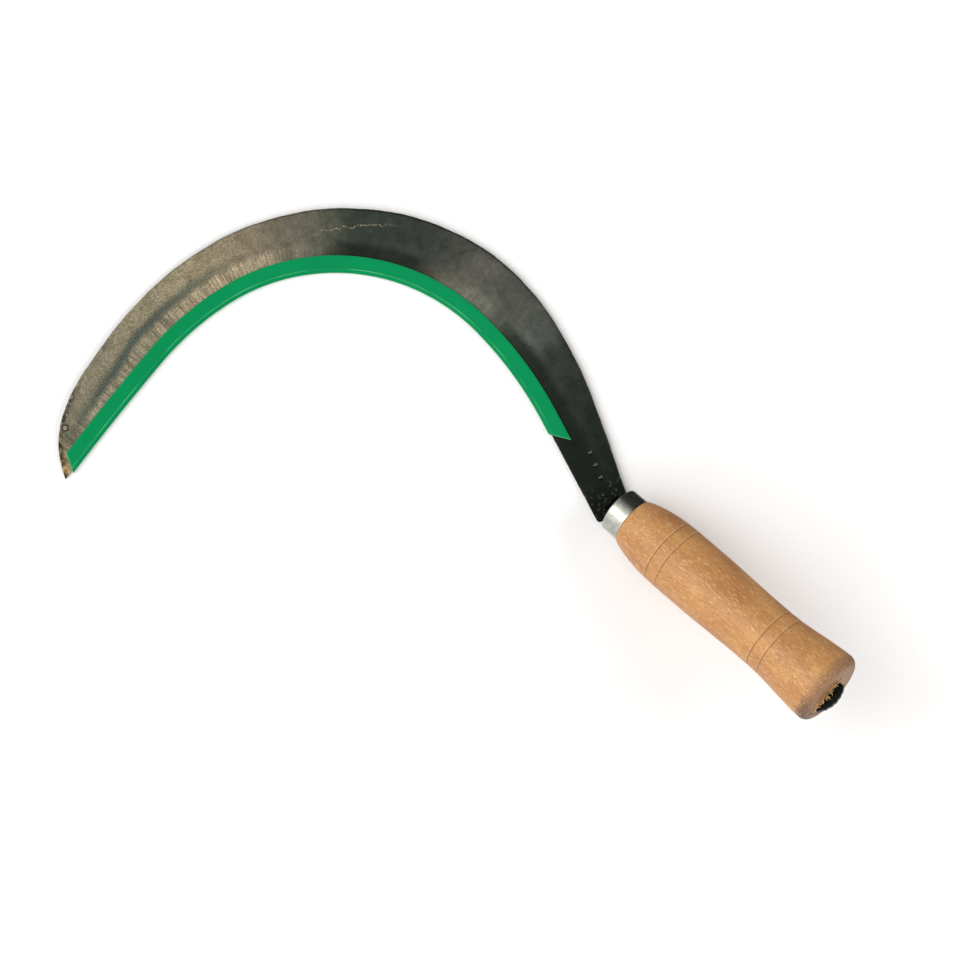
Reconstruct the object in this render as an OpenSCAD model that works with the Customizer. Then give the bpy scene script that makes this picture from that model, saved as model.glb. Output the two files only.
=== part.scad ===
// Hand sickle with a cranked, right-handed blade and a slip-on edge guard.
// Millimetres. The blade's flat underside is the plane z = 0 and the handle rises out of it.
// The origin is on that underside, straight below the middle of the ferrule's mouth.
// +Y points forward to the crown of the hook, +X to the outside of the hook.

/* [Blade outline] */
// Distance of the heel's inner corner from the handle's centre plane
heel_x = 11.5; // [10:0.5:16]
// Distance of the heel's inner corner in front of the ferrule's mouth
heel_y = 3; // [2:0.5:8]
// Direction of the straight heel, from the X axis
heel_angle = 69; // [60:1:78]
// Length of the straight heel
heel_len = 58; // [46:1:80]
// Radius of the edge next to the heel
throat_r = 190; // [150:5:250]
// Turn of the edge next to the heel, in degrees
throat_turn = 17; // [12:1:22]
// Radius of the edge around the crown
crown_r = 100; // [80:1:130]
// Turn of the edge around the crown, in degrees
crown_turn = 78; // [68:1:84]
// Radius of the edge past the crown
front_r = 150; // [120:5:190]
// Turn of the edge past the crown, in degrees
front_turn = 17; // [12:1:22]
// Radius of the nearly straight edge behind the point
point_r = 1400; // [900:50:1800]
// Turn of the edge behind the point, in degrees
point_turn = 3.1; // [2.4:0.1:3.6]

/* [Blade width] */
// Width at the heel's end
heel_w = 18.5; // [16:0.5:24]
// Width where the heel meets the curve
throat_w = 26.8; // [22:0.2:32]
// Widest part, before the crown
crown_w = 33.3; // [28:0.1:42]
// Width past the crown
front_w = 29.3; // [24:0.1:36]
// Width that the blade would have at its point if it stayed blunt
blunt_w = 26.4; // [22:0.2:32]
// Length over which the back runs in to the point
point_len = 17; // [12:1:26]

/* [Blade section] */
// Thickness of the back
blade_t = 2.4; // [2.2:0.1:3]
// Thickness of the edge
edge_t = 0.5; // [0.3:0.1:0.8]
// Width of the ground bevel
bevel_w = 18; // [14:1:24]
// Length of the straight heel that is left unground
unground_len = 22; // [14:1:26]

/* [Tang] */
// Width of the tang where it leaves the blade
tang_w = 9; // [7:0.5:11]
// Height of the tang where it enters the handle
tang_h = 7; // [6:0.5:8]
// Width of the tang at the butt
tang_end_w = 5.5; // [4:0.5:7]
// Height of the tang at the butt
tang_end_h = 4.5; // [3.5:0.5:6]
// Sideways place of the tang's middle at the butt
tang_drift = 3.2; // [0:0.1:4]
// Span of the clenched end across the butt
clench_span = 18.5; // [14:0.5:20]
// Height of the clenched end above the butt
clench_h = 4.8; // [3:0.1:6]
// Depth that the clenched point bites into the wood
clench_bite = 2; // [1:0.5:3]

/* [Handle] */
// Angle at which the handle rises from the blade's plane
handle_tilt = 21; // [18:1:26]
// Gap between the blade's top and the lowest point of the ferrule's mouth
mouth_gap = 0.4; // [0.3:0.1:3]
// Length from the ferrule's mouth to the butt
handle_len = 141.2; // [125:0.2:160]
// How far the wood stands out around the ferrule
shoulder_step = 0.7; // [0.4:0.1:2]
// Radius of the barrel
barrel_r = 17.25; // [15:0.05:20]
// Radius of the waist
waist_r = 16.4; // [14.4:0.1:18]
// Radius of the swell before the butt
swell_r = 19.3; // [18:0.1:22]
// Radius of the rounding between swell and butt
butt_round = 4.4; // [3:0.1:6]
// Distance from the mouth to the full barrel
barrel_at = 43; // [38:1:48]
// Distance from the mouth to where the barrel begins to narrow
narrow_at = 55; // [50:1:60]
// Distance from the butt to the rear end of the waist
waist_back = 40; // [36:0.5:50]
// Length of the waist
waist_len = 6; // [2:1:10]
// Depth of the turned grooves
groove_d = 0.4; // [0.2:0.1:0.8]
// Distance between the two grooves of a pair
groove_gap = 6.8; // [4:0.2:9]
// Distance from the mouth to the middle of the front pair
front_grooves_at = 37.5; // [34:0.5:46]
// Distance from the butt to the middle of the rear pair
rear_grooves_back = 36.6; // [30:0.2:44]

/* [Ferrule] */
// Outer radius of the ferrule
ferrule_r = 12; // [11.5:0.1:12.2]
// Wall of the ferrule
ferrule_wall = 0.9; // [0.6:0.1:1.2]
// Length of the ferrule
ferrule_len = 10; // [8:0.5:14]
// Distance from the ferrule's mouth to the wood inside it
mouth_depth = 3.5; // [2.5:0.5:4.5]

/* [Edge guard] */
// Reach of the guard over the blade, from the edge to its lips
guard_reach = 7.5; // [5:0.5:10]
// Wall of the guard's two lips
guard_wall = 1.1; // [0.8:0.1:1.6]
// Wall of the guard in front of the edge
guard_nose = 1; // [0.8:0.1:1.4]
// Gap between guard and blade
guard_gap = 0.1; // [0.05:0.05:0.2]
// Distance from the heel's inner corner to the guard's heel end, along the edge
guard_start = 50.5; // [44:0.5:56]
// How much further the lips run towards the heel than the nose does
guard_heel_slant = 7.8; // [0:0.2:9]
// Distance from the point to the guard's front end, along the edge
guard_stop = 5; // [3:0.5:30]
// How much shorter the lips are than the nose at the point
guard_point_slant = 5.8; // [0:0.2:9]

/* [Hidden] */
$fn = 180;

over = 1;                 // how far a cutting shape runs past what it cuts
far = 60;                 // larger than anything a cut has to pass
blade_steps = 90;         // sections along the blade
crowding = 1.4;           // above 1, the blade's sections stand closer together towards the point
guard_steps = 76;         // sections along the guard
profile_steps = 60;       // rings along the turned handle
groove_half_w = 0.6;      // half the width of a groove at the surface
nose_step = 30;           // degrees between the points of the guard's round nose
shoulder_slope = 30;      // slope of the heel's end on both sides of the tang
barrel_power = 2.7;       // how quickly the wood swells behind the ferrule
heel_room = 10;           // how far behind the heel's corner the blade's first section is
grind_len = 12;           // length over which the bevel starts
tip_flat = 0.3;           // length by which the point is blunted
knee_share = 0.9;         // share of a narrow blade's width that the bevel may take
neck_foot_y = 4;          // where the neck's front leaves the blade's top
neck_bend = 2;            // where the neck's rear side meets the tang, from the ferrule's mouth
clench_rise = 3;          // how much wider the clenched end's arch is than its span

mouth_z = blade_t + mouth_gap + ferrule_r * cos(handle_tilt);

// ---- The edge: a straight heel and four arcs, each tangent to the next ----

ARCS = [[throat_r, throat_turn], [crown_r, crown_turn], [front_r, front_turn], [point_r, point_turn]];
heel_corner = [-heel_x, heel_y];

function ahead(a) = [cos(a), sin(a)];
function outward(a) = [sin(a), -cos(a)];
function arc_len(i) = ARCS[i][0] * ARCS[i][1] * PI / 180;
function arc_heading(i) = i == 0 ? heel_angle : arc_heading(i - 1) + ARCS[i - 1][1];
function arc_from(i) = i == 0 ? heel_len : arc_from(i - 1) + arc_len(i - 1);
function arc_centre(i) = i == 0
    ? heel_corner + heel_len * ahead(heel_angle) - ARCS[0][0] * outward(heel_angle)
    : arc_centre(i - 1) + (ARCS[i - 1][0] - ARCS[i][0]) * outward(arc_heading(i));

edge_len = arc_from(len(ARCS) - 1) + arc_len(len(ARCS) - 1);

function arc_at(s, i = 0) = i == len(ARCS) - 1 || s < arc_from(i + 1) ? i : arc_at(s, i + 1);
function heading(s, i) = arc_heading(i) + (s - arc_from(i)) / ARCS[i][0] * 180 / PI;
function heading_at(s) = s < heel_len ? heel_angle : heading(s, arc_at(s));
function edge_point(s) = s < heel_len
    ? heel_corner + s * ahead(heel_angle)
    : arc_centre(arc_at(s)) + ARCS[arc_at(s)][0] * outward(heading_at(s));

// ---- The blade's width: a smooth curve through its stations, run in to the point ----

WIDTHS = [[0, heel_w], [0.155, throat_w], [0.33, crown_w], [0.62, front_w], [1, blunt_w]];

function slope(t, i) = let (a = max(i - 1, 0), b = min(i + 1, len(t) - 1))
    (t[b][1] - t[a][1]) / (t[b][0] - t[a][0]);
function station(t, x, i = 0) = i == len(t) - 2 || x < t[i + 1][0] ? i : station(t, x, i + 1);
function smooth(t, x) = let (i = station(t, x), h = t[i + 1][0] - t[i][0], u = (x - t[i][0]) / h)
    (2 * u^3 - 3 * u^2 + 1) * t[i][1] + (u^3 - 2 * u^2 + u) * h * slope(t, i)
    + (3 * u^2 - 2 * u^3) * t[i + 1][1] + (u^3 - u^2) * h * slope(t, i + 1);
function blade_width(s) = smooth(WIDTHS, max(s, 0) / edge_len) * (1 - exp(-(edge_len - s) / point_len));

// The height of the blade's top at a distance d from the edge, once the grinding has set in
function bevel_top(d) = edge_t + (blade_t - edge_t) * min(d / bevel_w, 1);

// ---- The handle's radius along its axis, measured from the ferrule's mouth ----

function ease(u) = u^2 * (3 - 2 * u);
function between(e, a, b) = min(max((e - a) / (b - a), 0), 1);
function mix(a, b, u) = a + (b - a) * u;
shoulder_r = ferrule_r + shoulder_step;
swell_from = handle_len - waist_back;
waist_at = swell_from - waist_len;
swell_to = handle_len - butt_round / 2;
function handle_r(e) = e < barrel_at
    ? shoulder_r + (barrel_r - shoulder_r) * (1 - (1 - between(e, ferrule_len, barrel_at)) ^ barrel_power)
    : barrel_r - (barrel_r - waist_r) * ease(between(e, narrow_at, waist_at))
        + (swell_r - waist_r) * ease(between(e, swell_from, swell_to));

// ---- Placing things ----

// A point s along the edge, d into the blade from it, and z above the underside
function on_blade(s, d, z) = let (p = edge_point(s) + d * outward(heading_at(s))) [p[0], p[1], z];

// Joins sections that have the same number of points into one solid; caps names a section's own faces
module skin(sections, caps) {
    n = len(sections[0]);
    last = len(sections) - 1;
    polyhedron(
        points = [for (section = sections) each section],
        faces = concat(
            [for (c = caps) [for (k = [len(c) - 1:-1:0]) c[k]]],
            [for (c = caps) [for (k = c) last * n + k]],
            [
                for (i = [0:last - 1], k = [0:n - 1])
                    let (a = i * n + k, b = i * n + (k + 1) % n)
                        each [[a, b + n, a + n], [a, b, b + n]]
            ]
        ),
        convexity = 10
    );
}

// Puts a shape on the handle's axis: its Z runs to the butt and its Y is the top side
module on_handle() {
    translate([0, 0, mouth_z])
        rotate([90 - handle_tilt, 0, 0])
            children();
}

// An outline drawn in the handle's plan, given its full height
module plan_prism(h) {
    rotate([90, 0, 0])
        linear_extrude(h, center = true)
            children();
}

// An outline drawn in the handle's side view, given its full width
module side_prism(w) {
    rotate([90, 0, 90])
        linear_extrude(w, center = true)
            children();
}

// ---- Blade with its neck, tang and clenched end: one forging ----

heel_end_y = heel_y - (heel_x - tang_w / 2) * tan(shoulder_slope);

// One section of the blade, anticlockwise as seen from the heel; the knee is the bevel's upper edge
function blade_section(s) = let (
    w = blade_width(s),
    knee = min(bevel_w, knee_share * w),
    grind = ease(between(s, unground_len - grind_len, unground_len)),
    top = [for (d = [w, knee, 0]) on_blade(s, d, mix(blade_t, bevel_top(d), grind))]
) concat([on_blade(s, 0, 0), on_blade(s, w, 0)], top);

module plate() {
    run = heel_room + edge_len - tip_flat;
    steps = [for (i = [0:blade_steps]) run * (1 - (1 - i / blade_steps) ^ crowding) - heel_room];
    difference() {
        skin([for (s = steps) blade_section(s)], [[0, 1, 2, 3, 4]]);
        // the two sloping shoulders at the heel's end
        translate([0, 0, -over])
            linear_extrude(blade_t + 2 * over)
                for (side = [-1, 1])
                    polygon([
                        [-side * over, heel_end_y], [side * tang_w / 2, heel_end_y],
                        [side * far, heel_end_y + (far - tang_w / 2) * tan(shoulder_slope)],
                        [side * far, -far], [-side * over, -far]
                    ]);
    }
}

// Turns a point of the object's Y-Z plane into the handle's side view: [height, distance to the butt]
function side_view(y, z) = [
    y * sin(handle_tilt) + (z - mouth_z) * cos(handle_tilt),
    -y * cos(handle_tilt) + (z - mouth_z) * sin(handle_tilt)
];

// The neck climbs from the heel into the ferrule's mouth, and the tang runs on to the butt
module tang() {
    bury = blade_t / 2;
    on_handle()
        intersection() {
            side_prism(far)
                polygon([
                    side_view(neck_foot_y, bury), side_view(neck_foot_y, blade_t),
                    [tang_h / 2, 0], [tang_end_h / 2, handle_len], [-tang_end_h / 2, handle_len],
                    [-tang_h / 2, neck_bend], side_view(heel_end_y + bury / 2, bury)
                ]);
            plan_prism(far)
                polygon([
                    [-tang_w / 2, -far], [tang_w / 2, -far], [tang_w / 2, 0],
                    [tang_drift + tang_end_w / 2, handle_len + over],
                    [tang_drift - tang_end_w / 2, handle_len + over], [-tang_w / 2, 0]
                ]);
        }
}

// The tang's end is bent over across the butt, and its point driven back into the wood
module clench() {
    right = tang_drift + tang_end_w / 2;
    chord = clench_span + clench_rise;
    arch_r = (chord^2 / 4 + clench_h^2) / (2 * clench_h);
    on_handle()
        plan_prism(tang_end_h)
            intersection() {
                translate([right - clench_span + chord / 2, handle_len + clench_h - arch_r])
                    circle(arch_r);
                polygon([
                    [right, handle_len - over], [right, handle_len + far],
                    [right - far, handle_len + far],
                    [right - far, handle_len - clench_bite * far / clench_span]
                ]);
            }
}

module blade() {
    color("dimgray") {
        plate();
        tang();
        clench();
    }
}

// ---- Ferrule: a short steel tube pressed on the handle's spigot ----

module ferrule() {
    color("silver")
        on_handle()
            rotate_extrude()
                translate([ferrule_r - ferrule_wall, 0])
                    square([ferrule_wall, ferrule_len]);
}

// ---- Handle: turned wood with a spigot, two pairs of grooves and the tang's hole ----

module groove(e) {
    rotate_extrude()
        polygon([
            [handle_r(e) + groove_d, e - 2 * groove_half_w],
            [handle_r(e) - groove_d, e],
            [handle_r(e) + groove_d, e + 2 * groove_half_w]
        ]);
}

module handle_blank() {
    body_to = handle_len - butt_round;
    end_r = handle_r(body_to);
    rings = [for (i = [0:profile_steps]) ferrule_len + (body_to - ferrule_len) * i / profile_steps];
    rotate_extrude() {
        translate([0, mouth_depth])
            square([ferrule_r - ferrule_wall, ferrule_len - mouth_depth + over]);
        polygon(concat(
            [[0, ferrule_len]],
            [for (e = rings) [handle_r(e), e]],
            [[end_r - butt_round, body_to], [end_r - butt_round, handle_len], [0, handle_len]]
        ));
        translate([end_r - butt_round, body_to])
            intersection() {
                circle(butt_round);
                square(2 * butt_round);
            }
    }
}

module handle() {
    color("burlywood")
        difference() {
            on_handle()
                difference() {
                    handle_blank();
                    for (at = [front_grooves_at, handle_len - rear_grooves_back], side = [-0.5, 0.5])
                        groove(at + side * groove_gap);
                }
            tang();
            clench();
        }
}

// ---- Edge guard: a plastic channel pushed on the cutting edge ----

// The section's outline: the outside from the upper lip round the nose to the lower lip, then the slot
nose_r = edge_t / 2 + guard_gap + guard_wall;
nose_mid = [nose_r - guard_nose - guard_gap, edge_t / 2];
slot_top = bevel_top(guard_reach) + guard_gap;
GUARD_OUTLINE = concat(
    [[guard_reach, slot_top + guard_wall]],
    [for (a = [90:nose_step:270]) nose_mid + nose_r * ahead(a)],
    [
        [guard_reach, -guard_gap - guard_wall], [guard_reach, -guard_gap], [-guard_gap, -guard_gap],
        [-guard_gap, edge_t + guard_gap], [0, edge_t + guard_gap], [guard_reach, slot_top]
    ]
);

// The cut ends' faces: upper lip, nose and lower lip
GUARD_CAPS = [
    [0, 1, 12, 13], [1, 2, 12], [2, 11, 12], [2, 3, 11], [3, 4, 11], [4, 10, 11],
    [4, 5, 10], [5, 6, 10], [6, 7, 10], [7, 8, 9, 10]
];

// Both ends are cut on a slant, so a point's place along the edge depends on how far in it lies
function guard_from(d) = guard_start - guard_heel_slant * between(d, -guard_nose - guard_gap, guard_reach);
function guard_to(d) = edge_len - guard_stop
    - guard_point_slant * between(d, -guard_nose - guard_gap, guard_reach);

function guard_point(p, u) = on_blade(mix(guard_from(p[0]), guard_to(p[0]), u), p[0], p[1]);

module edge_guard() {
    color("seagreen")
        skin(
            [for (i = [0:guard_steps]) [for (p = GUARD_OUTLINE) guard_point(p, i / guard_steps)]],
            GUARD_CAPS
        );
}

blade();
ferrule();
handle();
edge_guard();
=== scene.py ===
import math
import random

import bpy
from mathutils import Matrix, Vector


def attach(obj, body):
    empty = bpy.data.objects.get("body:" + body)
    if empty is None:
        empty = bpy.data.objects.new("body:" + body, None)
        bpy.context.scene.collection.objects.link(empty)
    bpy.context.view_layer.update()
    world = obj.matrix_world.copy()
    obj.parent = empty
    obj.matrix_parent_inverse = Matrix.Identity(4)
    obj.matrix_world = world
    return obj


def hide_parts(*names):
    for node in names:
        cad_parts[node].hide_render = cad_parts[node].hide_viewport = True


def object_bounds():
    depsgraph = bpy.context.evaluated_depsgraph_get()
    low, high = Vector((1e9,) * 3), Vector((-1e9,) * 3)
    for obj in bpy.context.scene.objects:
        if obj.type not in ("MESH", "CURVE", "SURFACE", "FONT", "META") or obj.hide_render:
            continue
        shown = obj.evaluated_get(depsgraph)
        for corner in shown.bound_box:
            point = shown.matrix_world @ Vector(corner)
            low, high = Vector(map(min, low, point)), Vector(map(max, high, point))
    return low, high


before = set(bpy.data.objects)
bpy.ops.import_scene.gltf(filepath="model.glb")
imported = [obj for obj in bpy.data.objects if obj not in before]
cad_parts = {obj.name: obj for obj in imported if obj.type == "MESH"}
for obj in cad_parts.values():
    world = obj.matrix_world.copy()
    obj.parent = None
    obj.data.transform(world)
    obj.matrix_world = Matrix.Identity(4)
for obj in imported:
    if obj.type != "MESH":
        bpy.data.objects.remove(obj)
cad_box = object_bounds()

# ---- The edge's path ------------------------------------------------------------------------------
# The smith forges the blade round a pattern: a straight heel, then four arcs that run into each other.
# The ground edge follows it, and the plastic guard is bent along the same line.

HEEL_CORNER = Vector((-0.0115, 0.003))
HEEL_ANGLE = math.radians(69)
HEEL_LEN = 0.058
ARCS = [(0.190, 17.0), (0.100, 78.0), (0.150, 17.0), (1.400, 3.1)]
PATH_STEP = 0.0005
PATH_BEFORE = 0.010
PATH_AFTER = 0.005


def edge_path():
    """Points along the edge, from PATH_BEFORE behind the heel's corner to PATH_AFTER past the point."""
    turns = [(radius * math.radians(turn), 1 / radius) for radius, turn in ARCS]
    stretches = [(PATH_BEFORE + HEEL_LEN, 0.0)] + turns[:-1] + [(turns[-1][0] + PATH_AFTER, turns[-1][1])]
    heading = HEEL_ANGLE
    at = HEEL_CORNER - PATH_BEFORE * Vector((math.cos(heading), math.sin(heading)))
    points = [at.copy()]
    for length, bend in stretches:
        steps = max(1, round(length / PATH_STEP))
        for _ in range(steps):
            middle = heading + bend * length / steps / 2
            at = at + length / steps * Vector((math.cos(middle), math.sin(middle)))
            heading += bend * length / steps
            points.append(at.copy())
    return points


EDGE_LEN = HEEL_LEN + sum(radius * math.radians(turn) for radius, turn in ARCS)

path_points = edge_path()
edge_mesh = bpy.data.meshes.new("edge_path")
path_links = [(i, i + 1) for i in range(len(path_points) - 1)]
edge_mesh.from_pydata([(p.x, p.y, 0) for p in path_points], path_links, [])
edge_curve = bpy.data.objects.new("edge_path", edge_mesh)
bpy.context.scene.collection.objects.link(edge_curve)


def add(tree, kind, settings=None, **links):
    """Adds a node, sets its settings, and links or sets its inputs by name or by "_number".

    A node given to an input stands for its first output in use.
    """
    node = tree.nodes.new(kind)
    for key, value in (settings or {}).items():
        setattr(node, key, value)
    for key, value in links.items():
        socket = node.inputs[int(key[1:])] if key[0] == "_" else node.inputs[key.replace("_", " ")]
        if isinstance(value, bpy.types.Node):
            value = next(output for output in value.outputs if output.enabled)
        if isinstance(value, bpy.types.NodeSocket):
            tree.links.new(value, socket)
        else:
            socket.default_value = value
    return node


def bend_tree():
    """Bends a piece made straight along X onto the edge's path: X runs along it, Y goes into the blade."""
    tree = bpy.data.node_groups.new("follow_the_edge", "GeometryNodeTree")
    tree.is_modifier = True
    tree.interface.new_socket("Geometry", in_out="INPUT", socket_type="NodeSocketGeometry")
    tree.interface.new_socket("Edge Path", in_out="INPUT", socket_type="NodeSocketObject")
    tree.interface.new_socket("Path Before Corner", in_out="INPUT", socket_type="NodeSocketFloat")
    tree.interface.new_socket("Material", in_out="INPUT", socket_type="NodeSocketMaterial")
    tree.interface.new_socket("Geometry", in_out="OUTPUT", socket_type="NodeSocketGeometry")
    given = add(tree, "NodeGroupInput")
    place = add(tree, "GeometryNodeInputPosition")
    parts = add(tree, "ShaderNodeSeparateXYZ", _0=place)
    stored = add(
        tree, "GeometryNodeStoreNamedAttribute", {"data_type": "FLOAT_VECTOR", "domain": "POINT"},
        Geometry=given.outputs["Geometry"], Name="flow", Value=place,
    )
    relative = {"transform_space": "RELATIVE"}
    path = add(tree, "GeometryNodeObjectInfo", relative, Object=given.outputs["Edge Path"])
    curve = add(tree, "GeometryNodeMeshToCurve", Mesh=path.outputs["Geometry"])
    length = add(tree, "ShaderNodeMath", _0=parts.outputs[0], _1=given.outputs["Path Before Corner"])
    sample = add(
        tree, "GeometryNodeSampleCurve", {"mode": "LENGTH", "use_all_curves": True},
        Curves=curve, Length=length,
    )
    outward = add(
        tree, "ShaderNodeVectorMath", {"operation": "CROSS_PRODUCT"},
        _0=sample.outputs["Tangent"], _1=(0, 0, 1),
    )
    reach = add(tree, "ShaderNodeVectorMath", {"operation": "SCALE"}, _0=outward, Scale=parts.outputs[1])
    flat = add(tree, "ShaderNodeVectorMath", _0=sample.outputs["Position"], _1=reach)
    height = add(tree, "ShaderNodeCombineXYZ", Z=parts.outputs[2])
    there = add(tree, "ShaderNodeVectorMath", _0=flat, _1=height)
    moved = add(tree, "GeometryNodeSetPosition", Geometry=stored, Position=there)
    real = add(tree, "GeometryNodeRealizeInstances", Geometry=moved)
    painted = add(
        tree, "GeometryNodeSetMaterial", Geometry=real, Material=given.outputs["Material"]
    )
    out = add(tree, "NodeGroupOutput")
    tree.links.new(painted.outputs[0], out.inputs[0])
    return tree


follow_the_edge = bend_tree()

# ---- Blade ----------------------------------------------------------------------------------------
# Forged carbon steel, hammered thin, left black from the fire at the heel and ground on its upper side
# into a wide bevel. Years of oil and reaping have turned the ground part a warm grey.

BLADE_T = 0.0024
EDGE_T = 0.0005
BEVEL_W = 0.018
UNGROUND_LEN = 0.022
GRIND_LEN = 0.012
TIP_FLAT = 0.0003
POINT_LEN = 0.017
WIDTHS = [(0.0, 0.0185), (0.155, 0.0268), (0.33, 0.0333), (0.62, 0.0293), (1.0, 0.0264)]
HEEL_END_Y = -0.00104
SHOULDER_SLOPE = math.tan(math.radians(30))
TANG_HALF_W = 0.0045
HEEL_ROUND = 0.0011
BACK_CHAMFER = 0.00035
BLADE_RINGS = 620
BLADE_ROWS = 34
GRIND_WAVE = 0.00006
KNEE_SOFT = 0.0016


def mesh_piece(name, points, faces):
    """A new smooth-shaded object at the origin; its faces come wound to look outward."""
    mesh = bpy.data.meshes.new(name)
    mesh.from_pydata([tuple(p) for p in points], [], faces)
    mesh.validate()
    mesh.shade_smooth()
    obj = bpy.data.objects.new(name, mesh)
    bpy.context.scene.collection.objects.link(obj)
    return obj


def mix(a, b, u):
    return a + (b - a) * u


def ease(u):
    u = min(max(u, 0.0), 1.0)
    return u * u * (3 - 2 * u)


def skin(rings, caps=True):
    """Points and quads between closed rings of equal length, with a face over each end if caps is set."""
    n = len(rings[0])
    points = [p for ring in rings for p in ring]
    faces = []
    for i in range(len(rings) - 1):
        for k in range(n):
            a, b = i * n + k, i * n + (k + 1) % n
            faces.append((a, b, b + n, a + n))
    if caps:
        faces.append(tuple(reversed(range(n))))
        faces.append(tuple(range(len(points) - n, len(points))))
    return points, faces


def made_real(obj, tree, **values):
    """Runs a Geometry Nodes tree on obj with these named inputs, and keeps the result as its plain mesh."""
    modifier = obj.modifiers.new(tree.name, "NODES")
    modifier.node_group = tree
    for item in tree.interface.items_tree:
        if item.in_out == "INPUT" and item.name in values:
            modifier[item.identifier] = values[item.name]
    bpy.context.view_layer.update()
    seen = obj.evaluated_get(bpy.context.evaluated_depsgraph_get())
    mesh = bpy.data.meshes.new_from_object(seen)
    obj.modifiers.clear()
    obj.data = mesh
    mesh.name = obj.name
    return obj


def bent_along_edge(obj, material):
    values = {"Edge Path": edge_curve, "Path Before Corner": PATH_BEFORE, "Material": material}
    return made_real(obj, follow_the_edge, **values)


def srgb(code):
    """An sRGB hex colour as linear RGBA."""
    parts = [int(code[i:i + 2], 16) / 255 for i in (1, 3, 5)]
    return tuple(c / 12.92 if c <= 0.04045 else ((c + 0.055) / 1.055) ** 2.4 for c in parts) + (1.0,)


def new_material(name):
    """A material with its node tree and its Principled shader."""
    material = bpy.data.materials.new(name)
    material.use_nodes = True
    tree = material.node_tree
    return material, tree, tree.nodes["Principled BSDF"]


def width_at(s):
    """The blade's width at a distance s from the heel's corner along the edge."""
    x = min(max(s / EDGE_LEN, 0.0), 1.0)
    slopes = []
    for i in range(len(WIDTHS)):
        a, b = WIDTHS[max(i - 1, 0)], WIDTHS[min(i + 1, len(WIDTHS) - 1)]
        slopes.append((b[1] - a[1]) / (b[0] - a[0]))
    i = max(k for k in range(len(WIDTHS) - 1) if WIDTHS[k][0] <= x)
    h = WIDTHS[i + 1][0] - WIDTHS[i][0]
    u = (x - WIDTHS[i][0]) / h
    full = (2 * u**3 - 3 * u**2 + 1) * WIDTHS[i][1] + (u**3 - 2 * u**2 + u) * h * slopes[i]
    full += (3 * u**2 - 2 * u**3) * WIDTHS[i + 1][1] + (u**3 - u**2) * h * slopes[i + 1]
    return full * (1 - math.exp(-(EDGE_LEN - s) / POINT_LEN))


def waver(seed, *terms):
    """A smooth wandering function of one variable: sines of these (period, size) with seeded phases."""
    phases = [random.Random(seed + k).uniform(0, 2 * math.pi) for k in range(len(terms))]

    def at(s):
        return sum(a * math.sin(2 * math.pi * s / period + f) for (period, a), f in zip(terms, phases))

    return at


knee_wander = waver(3, (0.041, 0.0006), (0.017, 0.0004), (0.0069, 0.00018))
back_wander = waver(8, (0.033, 0.00010), (0.0121, 0.00006), (0.0047, 0.00003))
wave_along = waver(15, (0.061, 0.6), (0.027, 0.4), (0.0113, 0.25))


def top_at(s, d, w):
    """The height of the blade's top: the bevel, rounded where it meets the forged flat."""
    knee = min(BEVEL_W, 0.9 * w) + knee_wander(s)
    below = (knee + d - math.sqrt((knee - d) ** 2 + KNEE_SOFT**2)) / 2
    ground = EDGE_T + (BLADE_T - EDGE_T) * max(below, 0) / BEVEL_W
    grind = ease((s - UNGROUND_LEN + GRIND_LEN) / GRIND_LEN)
    wave = GRIND_WAVE * wave_along(s + 0.35 * d) * ease(d / 0.010) * ease(w / 0.012)
    return mix(BLADE_T, min(ground, BLADE_T), grind) + wave * grind


def heel_start(d):
    """Where the heel's sloping end lies, as a distance along the edge, at a distance d from it."""
    low, high = -0.010, 0.012
    for _ in range(30):
        s = (low + high) / 2
        x = HEEL_CORNER.x + s * math.cos(HEEL_ANGLE) + d * math.sin(HEEL_ANGLE)
        y = HEEL_CORNER.y + s * math.sin(HEEL_ANGLE) - d * math.cos(HEEL_ANGLE)
        if y > HEEL_END_Y + max(abs(x) - TANG_HALF_W, 0) * SHOULDER_SLOPE:
            high = s
        else:
            low = s
    inside = max(HEEL_ROUND - d, 0)
    return high + HEEL_ROUND - math.sqrt(HEEL_ROUND**2 - inside**2)


def blade_ring(u):
    """One section of the blade, written straight: X along the edge, Y into the blade, Z up."""
    rows = [k / BLADE_ROWS for k in range(BLADE_ROWS + 1)]
    run = 1 - (1 - u) ** 1.5
    end = EDGE_LEN - TIP_FLAT

    def place_and_width(v):
        s = mix(heel_start(v * WIDTHS[0][1]), end, run)
        return s, width_at(s) + back_wander(s) * ease((EDGE_LEN - s) / 0.02)

    ring = []
    for v in (0, 0.25, 0.5, 0.75, 1):
        s, w = place_and_width(v)
        ring.append(Vector((s, v * w, 0.0003 if v == 1 else 0.0)))
    s, w = place_and_width(1)
    chamfer = min(BACK_CHAMFER, 0.2 * w)
    ring.append(Vector((s, w, top_at(s, w, w) - chamfer)))
    for v in reversed(rows):
        s, w = place_and_width(v)
        d = v * (w - chamfer)
        ring.append(Vector((s, d, top_at(s, d, w))))
    return ring


points, faces = skin([blade_ring(i / BLADE_RINGS) for i in range(BLADE_RINGS + 1)])
blade = mesh_piece("blade_plate", points, [tuple(reversed(f)) for f in faces])
from_back = blade.data.attributes.new("from_back", "FLOAT", "POINT")
from_back.data.foreach_set("value", [width_at(p.x) - p.y for p in points])

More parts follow.
